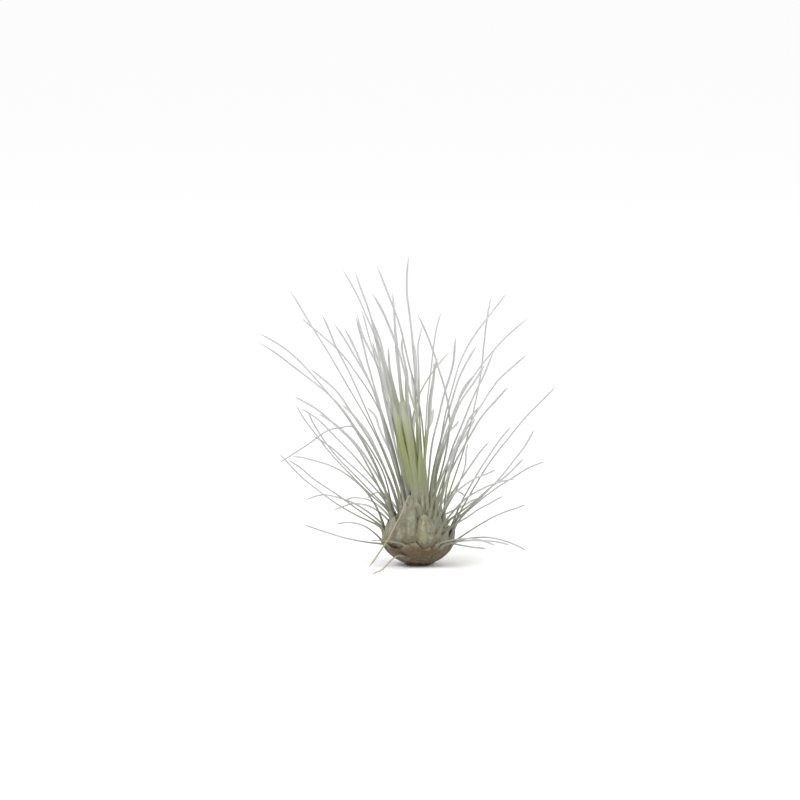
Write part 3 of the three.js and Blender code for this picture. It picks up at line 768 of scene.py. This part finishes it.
# Adds the core of a ring, which its sheaths lie on: a grid rolled up round the axis into a closed wall.
def add_core(bm, ring, inner):
    maps = bm.loops.layers.uv["leaf"]
    tint, green, edge = (bm.verts.layers.float[key] for key in ATTRIBUTES[:3])
    profile = core_profile(ring, inner)
    rows = len(profile) - 1
    made = bmesh.ops.create_grid(bm, x_segments=CORE_SIDES, y_segments=rows, size=1.0, calc_uvs=True)
    for vert in made["verts"]:
        turn = vert.co.x * math.pi
        radius, z, lean = profile[round((vert.co.y + 1) / 2 * rows)]
        radius *= 1 + RIB_DEPTH * math.sin(CORE_RIBS * turn + RIB_TWIST * z)
        vert.co = Vector((radius * math.cos(turn) + lean, radius * math.sin(turn), z)) * MM
        vert[tint] = CORE_SHADE[0] + CORE_SHADE[1] * math.sin(CORE_RIBS * turn)
        vert[green] = 0.0 if inner else 1.0
        # painted shade: a core wall counts as near a margin, so that it shows dark brown in the hollows
        # between the sheaths
        vert[edge] = CORE_SHADOW_EDGE if inner else 0.0
    for face in {face for vert in made["verts"] for face in vert.link_faces}:
        face.smooth = True
        for loop in face.loops:
            blade = smooth_step(*CORE_FADE, loop.vert.co.z / MM)
            loop[maps].uv.y = BLADE_START * (0.5 + blade)
    bmesh.ops.remove_doubles(bm, verts=made["verts"], dist=JOIN_DISTANCE)


def new_mesh():
    bm = bmesh.new()
    bm.loops.layers.uv.new("leaf")
    for key in ATTRIBUTES:
        bm.verts.layers.float.new(key)
    return bm


def finish_mesh(bm, name, node, material):
    bmesh.ops.recalc_face_normals(bm, faces=bm.faces[:])
    mesh = bpy.data.meshes.new(name)
    bm.to_mesh(mesh)
    bm.free()
    piece = bpy.data.objects.new(name, mesh)
    bpy.context.collection.objects.link(piece)
    mesh.materials.append(material)
    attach(piece, "root")
    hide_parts(node)
    return piece


# Short calls that add the nodes of a material or a node group.
class Nodes:
    def __init__(self, tree):
        self.tree = tree

    def add(self, kind, **sockets):
        node = self.tree.nodes.new(kind)
        for key, value in sockets.items():
            self.put(value, node.inputs[key.replace("_", " ")])
        return node

    # Sets a socket to a value, or links it to another node's output.
    def put(self, value, socket):
        if isinstance(value, bpy.types.NodeSocket):
            self.tree.links.new(value, socket)
        else:
            socket.default_value = value

    def maths(self, operation, a, b):
        node = self.tree.nodes.new("ShaderNodeMath")
        node.operation = operation
        self.put(a, node.inputs[0])
        self.put(b, node.inputs[1])
        return node.outputs[0]

    def times(self, a, b):
        return self.maths("MULTIPLY", a, b)

    # What a mask leaves of 1, taken at a share of its strength.
    def less(self, mask, share):
        return self.maths("SUBTRACT", 1.0, self.times(mask, share))

    def mix(self, share, a, b):
        node = self.tree.nodes.new("ShaderNodeMix")
        node.data_type = "RGBA"
        colours = [socket for socket in node.inputs if socket.type == "RGBA"]
        self.put(share, node.inputs[0])
        self.put(a, colours[0])
        self.put(b, colours[1])
        return next(socket for socket in node.outputs if socket.type == "RGBA")

    # Lays a colour over another by a mask, at a share of the mask's strength.
    def lay(self, mask, share, below, above):
        return self.mix(self.times(mask, share), below, above)

    def ramp(self, value, low, high):
        node = self.add("ShaderNodeMapRange", From_Min=low, From_Max=high)
        node.interpolation_type = "SMOOTHSTEP"
        self.put(value, node.inputs["Value"])
        return node.outputs["Result"]

    def noise(self, vector, scale, detail):
        return self.add("ShaderNodeTexNoise", Vector=vector, Scale=scale, Detail=detail).outputs["Fac"]

    def attribute(self, name):
        node = self.tree.nodes.new("ShaderNodeAttribute")
        node.attribute_name = name
        return node.outputs["Fac"]


# The patterns on a leaf, as masks from 0 to 1, by its place, its own map and its shade.
def leaf_patterns(n, place, own, tint):
    shift = n.add("ShaderNodeCombineXYZ", X=tint, Y=tint, Z=n.times(tint, STREAK_SHIFT)).outputs[0]
    shifted = n.add("ShaderNodeVectorMath", Vector=own)
    n.put(shift, shifted.inputs[1])
    stretched = n.add("ShaderNodeMapping", Vector=shifted.outputs[0], Scale=STREAKS).outputs[0]
    aside = n.add("ShaderNodeMapping", Vector=place, Location=ASIDE).outputs[0]
    return SimpleNamespace(
        streaks=n.ramp(n.noise(stretched, 1.0, 2.0), 0.35, 0.7),
        patches=n.ramp(n.noise(place, PATCHES, 3.0), 0.42, 0.62),
        stains=n.ramp(n.noise(aside, STAINS, 3.0), 0.5, 0.7),
        scales=n.ramp(n.noise(place, MEAL, 3.0), 0.4, 0.62),
    )


# The mealy grey of a sheath, with brown stains, papery margins, a brown foot, and brown rims that are partly
# the real brown of its margins and partly painted shade in the slits where it tucks under its neighbours.
def sheath_colour(n, given, place, height, tint, masks):
    edge = n.attribute("edge")
    # the rim mask: the brown laid on a sheath's edges, and the meal taken off them, are partly real and
    # partly painted shade in the slits between the sheaths
    rim = n.maths("POWER", edge, 3.0)
    thin_rim = n.maths("POWER", edge, 12.0)
    meal = n.maths("ADD", n.times(masks.patches, 0.6), n.times(masks.scales, 0.5))
    meal = n.times(meal, n.less(rim, 0.8))
    meal = n.times(meal, n.less(given["Age"], 0.6))
    sheath = n.mix(meal, n.lay(tint, 0.5, given["Sheath"], given["Margin"]), given["Scales"])
    sheath = n.lay(masks.streaks, 0.45, sheath, given["Foot"])
    sheath = n.lay(masks.stains, 0.6, sheath, given["Foot"])
    # brown on the rims, partly the margins' real brown and partly painted shade in the slits
    sheath = n.lay(rim, 0.5, sheath, given["Foot"])
    sheath = n.lay(thin_rim, 0.4, sheath, given["Margin"])
    ragged = n.maths("ADD", height, n.times(n.noise(place, RAGGED, 2.0), RAGGEDNESS))
    browned = n.maths("ADD", n.times(given["Age"], 0.1), 0.85)
    return n.mix(n.times(n.ramp(ragged, *BROWN_FEET), browned), sheath, given["Foot"])


# The grey of a blade, or the green of a young one, both pale towards their ends.
def blade_colour(n, given, along, height, tint, masks):
    green = n.attribute("green")
    blade = n.lay(masks.streaks, 0.3, given["Blade"], given["Scales"])
    blade = n.lay(n.ramp(along, *MAP_ROOT), 0.5, blade, given["Sheath"])
    fresh = n.lay(tint, 0.3, given["Shoot"], given["Scales"])
    fresh = n.lay(masks.streaks, 0.35, fresh, given["Stripe"])
    fresh = n.lay(n.ramp(height, *PALE_UPPER), 0.55, fresh, given["Tip"])
    fresh = n.lay(n.ramp(height, *GREY_FEET), 0.32, fresh, given["Scales"])
    blade = n.mix(green, blade, fresh)
    blade = n.lay(tint, 0.15, blade, given["Margin"])
    grey_end = n.times(n.ramp(along, *MAP_END), n.maths("SUBTRACT", 1.0, green))
    green_end = n.times(n.ramp(height, *PALE_TIPS), green)
    return n.lay(n.maths("ADD", grey_end, green_end), 0.9, blade, given["Tip"])


# A node group with the mealy scales, streaks, margins and ageing of a leaf, by its place and its own map.
def leaf_surface():
    group = bpy.data.node_groups.get("Leaf surface")
    if group:
        return group
    group = bpy.data.node_groups.new("Leaf surface", "ShaderNodeTree")
    for tone in TONES:
        group.interface.new_socket(name=tone, in_out="INPUT", socket_type="NodeSocketColor")
    group.interface.new_socket(name="Age", in_out="INPUT", socket_type="NodeSocketFloat")
    group.interface.new_socket(name="Color", in_out="OUTPUT", socket_type="NodeSocketColor")
    group.interface.new_socket(name="Height", in_out="OUTPUT", socket_type="NodeSocketFloat")
    n = Nodes(group)
    given = group.nodes.new("NodeGroupInput").outputs
    place = group.nodes.new("ShaderNodeTexCoord").outputs["Object"]
    own_map = group.nodes.new("ShaderNodeUVMap")
    own_map.uv_map = "leaf"
    own = own_map.outputs["UV"]
    along = n.add("ShaderNodeSeparateXYZ", Vector=own).outputs["Y"]
    height = n.add("ShaderNodeSeparateXYZ", Vector=place).outputs["Z"]
    tint = n.attribute("tint")
    masks = leaf_patterns(n, place, own, tint)

    in_sheath = n.ramp(along, *MAP_SHEATH)
    sheath = sheath_colour(n, given, place, height, tint, masks)
    body = n.mix(in_sheath, blade_colour(n, given, along, height, tint, masks), sheath)
    # painted light: the roots of the blades on top of the bulb are paled where shade falls between them,
    # standing in for light through the leaves
    painted_light = n.times(n.ramp(along, *PAINTED_LIGHT_MAP), n.ramp(height, *PAINTED_LIGHT_LOW))
    painted_light = n.times(painted_light, n.ramp(height, *PAINTED_LIGHT_HIGH))
    body = n.lay(painted_light, 0.5, body, n.mix(0.35, given["Margin"], given["Tip"]))
    dried = n.lay(masks.streaks, 0.4, given["Dry"], given["Margin"])
    body = n.mix(n.attribute("dry"), body, dried)

    end = group.nodes.new("NodeGroupOutput")
    n.put(body, end.inputs["Color"])
    mealy = n.times(masks.scales, n.maths("ADD", n.times(in_sheath, 1.6), 0.3))
    n.put(n.maths("ADD", mealy, masks.streaks), end.inputs["Height"])
    return group


def leaf_material(name, colours, age, roughness=0.72):
    material = bpy.data.materials.new(name)
    material.use_nodes = True
    n = Nodes(material.node_tree)
    shader = material.node_tree.nodes["Principled BSDF"]
    surface = material.node_tree.nodes.new("ShaderNodeGroup")
    surface.node_tree = leaf_surface()
    for tone in TONES:
        surface.inputs[tone].default_value = (*getattr(colours, tone.lower()), 1)
    surface.inputs["Age"].default_value = age
    n.put(surface.outputs["Color"], shader.inputs["Base Color"])
    bump = n.add("ShaderNodeBump", Strength=0.7, Distance=0.0002, Height=surface.outputs["Height"])
    n.put(bump.outputs["Normal"], shader.inputs["Normal"])
    shader.inputs["Roughness"].default_value = roughness
    shader.inputs["Specular IOR Level"].default_value = 0.3
    shader.inputs["Sheen Weight"].default_value = 0.15
    return material


# What the operators of the rings share: each makes one piece with all the leaves of its ring.
class RingBuilder:
    ring_name = ""
    piece_name = ""
    age = 0.0

    def execute(self, context):
        sizes = leaf_sizes(context.scene)
        ring = RINGS[self.ring_name]
        narrower = SHOOT_SHEATH if ring["depth"] == 1 else 1 - INWARD_LOSS * max(0, ring["depth"])
        width = sizes.sheath_width * narrower
        draw = draws(ring["seed"] * SHAPE_DRAWS)
        rings = list(RINGS.values())
        place = rings.index(ring)
        bm = new_mesh()
        add_core(bm, ring, rings[place + 1] if place + 1 < len(rings) else None)
        for leaf in ring_leaves(self.ring_name, ring, sizes.column_top):
            add_leaf(bm, ring, leaf, sizes, width * (1.0 if leaf.line else BARE_SHEATH), draw)
        material = leaf_material(self.bl_label, context.scene.plant_colours, self.age)
        finish_mesh(bm, self.piece_name, self.ring_name, material)
        return {"FINISHED"}


class PLANT_OT_old_leaves(RingBuilder, bpy.types.Operator):
    """Build the lowest and oldest ring of leaves."""

    bl_idname = "plant.old_leaves"
    bl_label = "Old leaves"
    ring_name = "old_leaves"
    piece_name = "old_foliage"
    age = 1.0


class PLANT_OT_outer_leaves(RingBuilder, bpy.types.Operator):
    """Build the outer ring of leaves."""

    bl_idname = "plant.outer_leaves"
    bl_label = "Outer leaves"
    ring_name = "outer_leaves"
    piece_name = "outer_foliage"
    age = 0.45


class PLANT_OT_middle_leaves(RingBuilder, bpy.types.Operator):
    """Build the middle ring of leaves."""

    bl_idname = "plant.middle_leaves"
    bl_label = "Middle leaves"
    ring_name = "middle_leaves"
    piece_name = "middle_foliage"
    age = 0.25


class PLANT_OT_inner_leaves(RingBuilder, bpy.types.Operator):
    """Build the inner ring of leaves."""

    bl_idname = "plant.inner_leaves"
    bl_label = "Inner leaves"
    ring_name = "inner_leaves"
    piece_name = "inner_foliage"
    age = 0.1


class PLANT_OT_central_shoot(RingBuilder, bpy.types.Operator):
    """Build the young leaves in the centre."""

    bl_idname = "plant.central_shoot"
    bl_label = "Central shoot"
    ring_name = "central_shoot"
    piece_name = "shoot_foliage"


class PLANT_OT_dry_leaves(bpy.types.Operator):
    """Build the two dried leaves, folded down over the bulb."""

    bl_idname = "plant.dry_leaves"
    bl_label = "Dried leaves"

    def execute(self, context):
        scene = context.scene
        material = leaf_material("Dried leaf", scene.plant_colours, 0.3, 0.8)
        draw = draws(DRY_SEED)
        for name, given in DRY_LEAVES.items():
            ring = RINGS[given["ring"]]
            azimuth = math.radians(given["azimuth"])
            start = given["top"] - DRY_OVERLAP
            points = [on_ring(ring, azimuth, start, DRY_OUT)]
            points += [Vector(point) for point in given["route"]]
            bm = new_mesh()
            leaf = Leaf(azimuth, start, line_through(points), dry=(given["dry"], 1.0))
            add_leaf(
                bm, ring, leaf, leaf_sizes(scene), given["half"], draw,
                foot=given["foot"], lifts=(DRY_LIFT, DRY_LIFT), dry_lean=given["lean"],
            )
            finish_mesh(bm, name.replace("leaf", "blade"), name, material)
        return {"FINISHED"}


class PLANT_OT_stem(bpy.types.Operator):
    """Build the short woody stem that the plant stands on."""

    bl_idname = "plant.stem"
    bl_label = "Stem"

    def execute(self, context):
        colours = context.scene.plant_colours
        material = bpy.data.materials.new("Stem bark")
        material.use_nodes = True
        n = Nodes(material.node_tree)
        shader = material.node_tree.nodes["Principled BSDF"]
        place = material.node_tree.nodes.new("ShaderNodeTexCoord").outputs["Object"]
        squashed = n.add("ShaderNodeMapping", Vector=place, Scale=BARK_RINGS).outputs[0]
        rings = n.noise(squashed, 1.0, 3.0)
        grain = n.noise(place, BARK_GRAIN, 3.0)
        bark = n.mix(n.ramp(rings, 0.35, 0.65), (*colours.stem, 1), (*colours.foot, 1))
        n.put(bark, shader.inputs["Base Color"])
        height = n.maths("ADD", rings, n.times(grain, 0.5))
        bump = n.add("ShaderNodeBump", Strength=0.6, Distance=0.0003, Height=height)
        n.put(bump.outputs["Normal"], shader.inputs["Normal"])
        shader.inputs["Roughness"].default_value = 0.9

        # a grid rolled up round the axis, closed by a pole at its foot and its top
        bm = new_mesh()
        rows = len(STEM_PROFILE) - 1
        made = bmesh.ops.create_grid(bm, x_segments=STEM_SIDES, y_segments=rows, size=1.0, calc_uvs=True)
        for vert in made["verts"]:
            turn = vert.co.x * math.pi
            radius, z = STEM_PROFILE[round((vert.co.y + 1) / 2 * rows)]
            waves = (share * math.sin(count * turn + twist * z) for count, twist, share in STEM_WAVES)
            radius *= 1 + sum(waves)
            vert.co = Vector((radius * math.cos(turn), radius * math.sin(turn), z)) * MM
        bmesh.ops.remove_doubles(bm, verts=bm.verts[:], dist=JOIN_DISTANCE)
        for face in bm.faces:
            face.smooth = True
        finish_mesh(bm, "stem_bark", "stem", material)
        return {"FINISHED"}


class PLANT_OT_stage(bpy.types.Operator):
    """Set up the camera, the pale ground and the soft lights."""

    bl_idname = "plant.stage"
    bl_label = "Stage"

    def execute(self, context):
        scene = context.scene
        scene.view_settings.view_transform = "Standard"
        camera = bpy.data.objects.new("Camera", bpy.data.cameras.new("Camera"))
        camera.data.lens = camera.data.sensor_width * CAMERA_DISTANCE / PICTURE_WIDTH
        camera.data.clip_start = 0.01
        back = Vector((0, -math.cos(LOOK_DOWN), math.sin(LOOK_DOWN)))
        camera.location = PICTURE_CENTRE + back * CAMERA_DISTANCE
        camera.rotation_euler = (math.pi / 2 - LOOK_DOWN, 0, 0)
        scene.collection.objects.link(camera)
        scene.camera = camera

        bm = bmesh.new()
        bmesh.ops.create_grid(bm, x_segments=1, y_segments=1, size=GROUND_REACH)
        mesh = bpy.data.meshes.new("Ground")
        bm.to_mesh(mesh)
        bm.free()
        ground = bpy.data.objects.new("Ground", mesh)
        scene.collection.objects.link(ground)
        pale = bpy.data.materials.new("Ground")
        pale.use_nodes = True
        shader = pale.node_tree.nodes["Principled BSDF"]
        shader.inputs["Base Color"].default_value = (GROUND_GREY, GROUND_GREY, GROUND_GREY, 1)
        shader.inputs["Roughness"].default_value = 1.0
        shader.inputs["Specular IOR Level"].default_value = 0.0
        mesh.materials.append(pale)

        world = bpy.data.worlds.new("World")
        world.use_nodes = True
        background = world.node_tree.nodes["Background"]
        background.inputs["Color"].default_value = (1, 1, 1, 1)
        background.inputs["Strength"].default_value = WORLD_STRENGTH
        scene.world = world
        for name, (place, power, size) in LAMPS.items():
            light = bpy.data.objects.new(name, bpy.data.lights.new(name, "AREA"))
            light.data.energy = power
            light.data.size = size
            light.location = place
            light.rotation_euler = (LIT_POINT - light.location).to_track_quat("-Z", "Y").to_euler()
            scene.collection.objects.link(light)
        return {"FINISHED"}


class PLANT_PT_panel(bpy.types.Panel):
    """Lists the steps that build the plant."""

    bl_label = "Air plant"
    bl_idname = "PLANT_PT_panel"
    bl_space_type = "VIEW_3D"
    bl_region_type = "UI"
    bl_category = "Air plant"

    def draw(self, context):
        for group in (context.scene.plant_sizes, context.scene.plant_colours):
            for key in group.__annotations__:
                self.layout.prop(group, key)
        for operator in OPERATORS:
            self.layout.operator(operator.bl_idname)


OPERATORS = (
    PLANT_OT_stage, PLANT_OT_old_leaves, PLANT_OT_outer_leaves, PLANT_OT_middle_leaves, PLANT_OT_inner_leaves,
    PLANT_OT_central_shoot, PLANT_OT_dry_leaves, PLANT_OT_stem,
)
CLASSES = (PlantSizes, PlantColours, *OPERATORS, PLANT_PT_panel)


def register():
    for kind in CLASSES:
        bpy.utils.register_class(kind)
    bpy.types.Scene.plant_sizes = PointerProperty(type=PlantSizes)
    bpy.types.Scene.plant_colours = PointerProperty(type=PlantColours)


def unregister():
    del bpy.types.Scene.plant_colours
    del bpy.types.Scene.plant_sizes
    for kind in reversed(CLASSES):
        bpy.utils.unregister_class(kind)


def main():
    register()
    bpy.ops.plant.stage()
    bpy.ops.plant.old_leaves()
    bpy.ops.plant.outer_leaves()
    bpy.ops.plant.middle_leaves()
    bpy.ops.plant.inner_leaves()
    bpy.ops.plant.central_shoot()
    bpy.ops.plant.dry_leaves()
    bpy.ops.plant.stem()


if __name__ == "__main__":
    main()
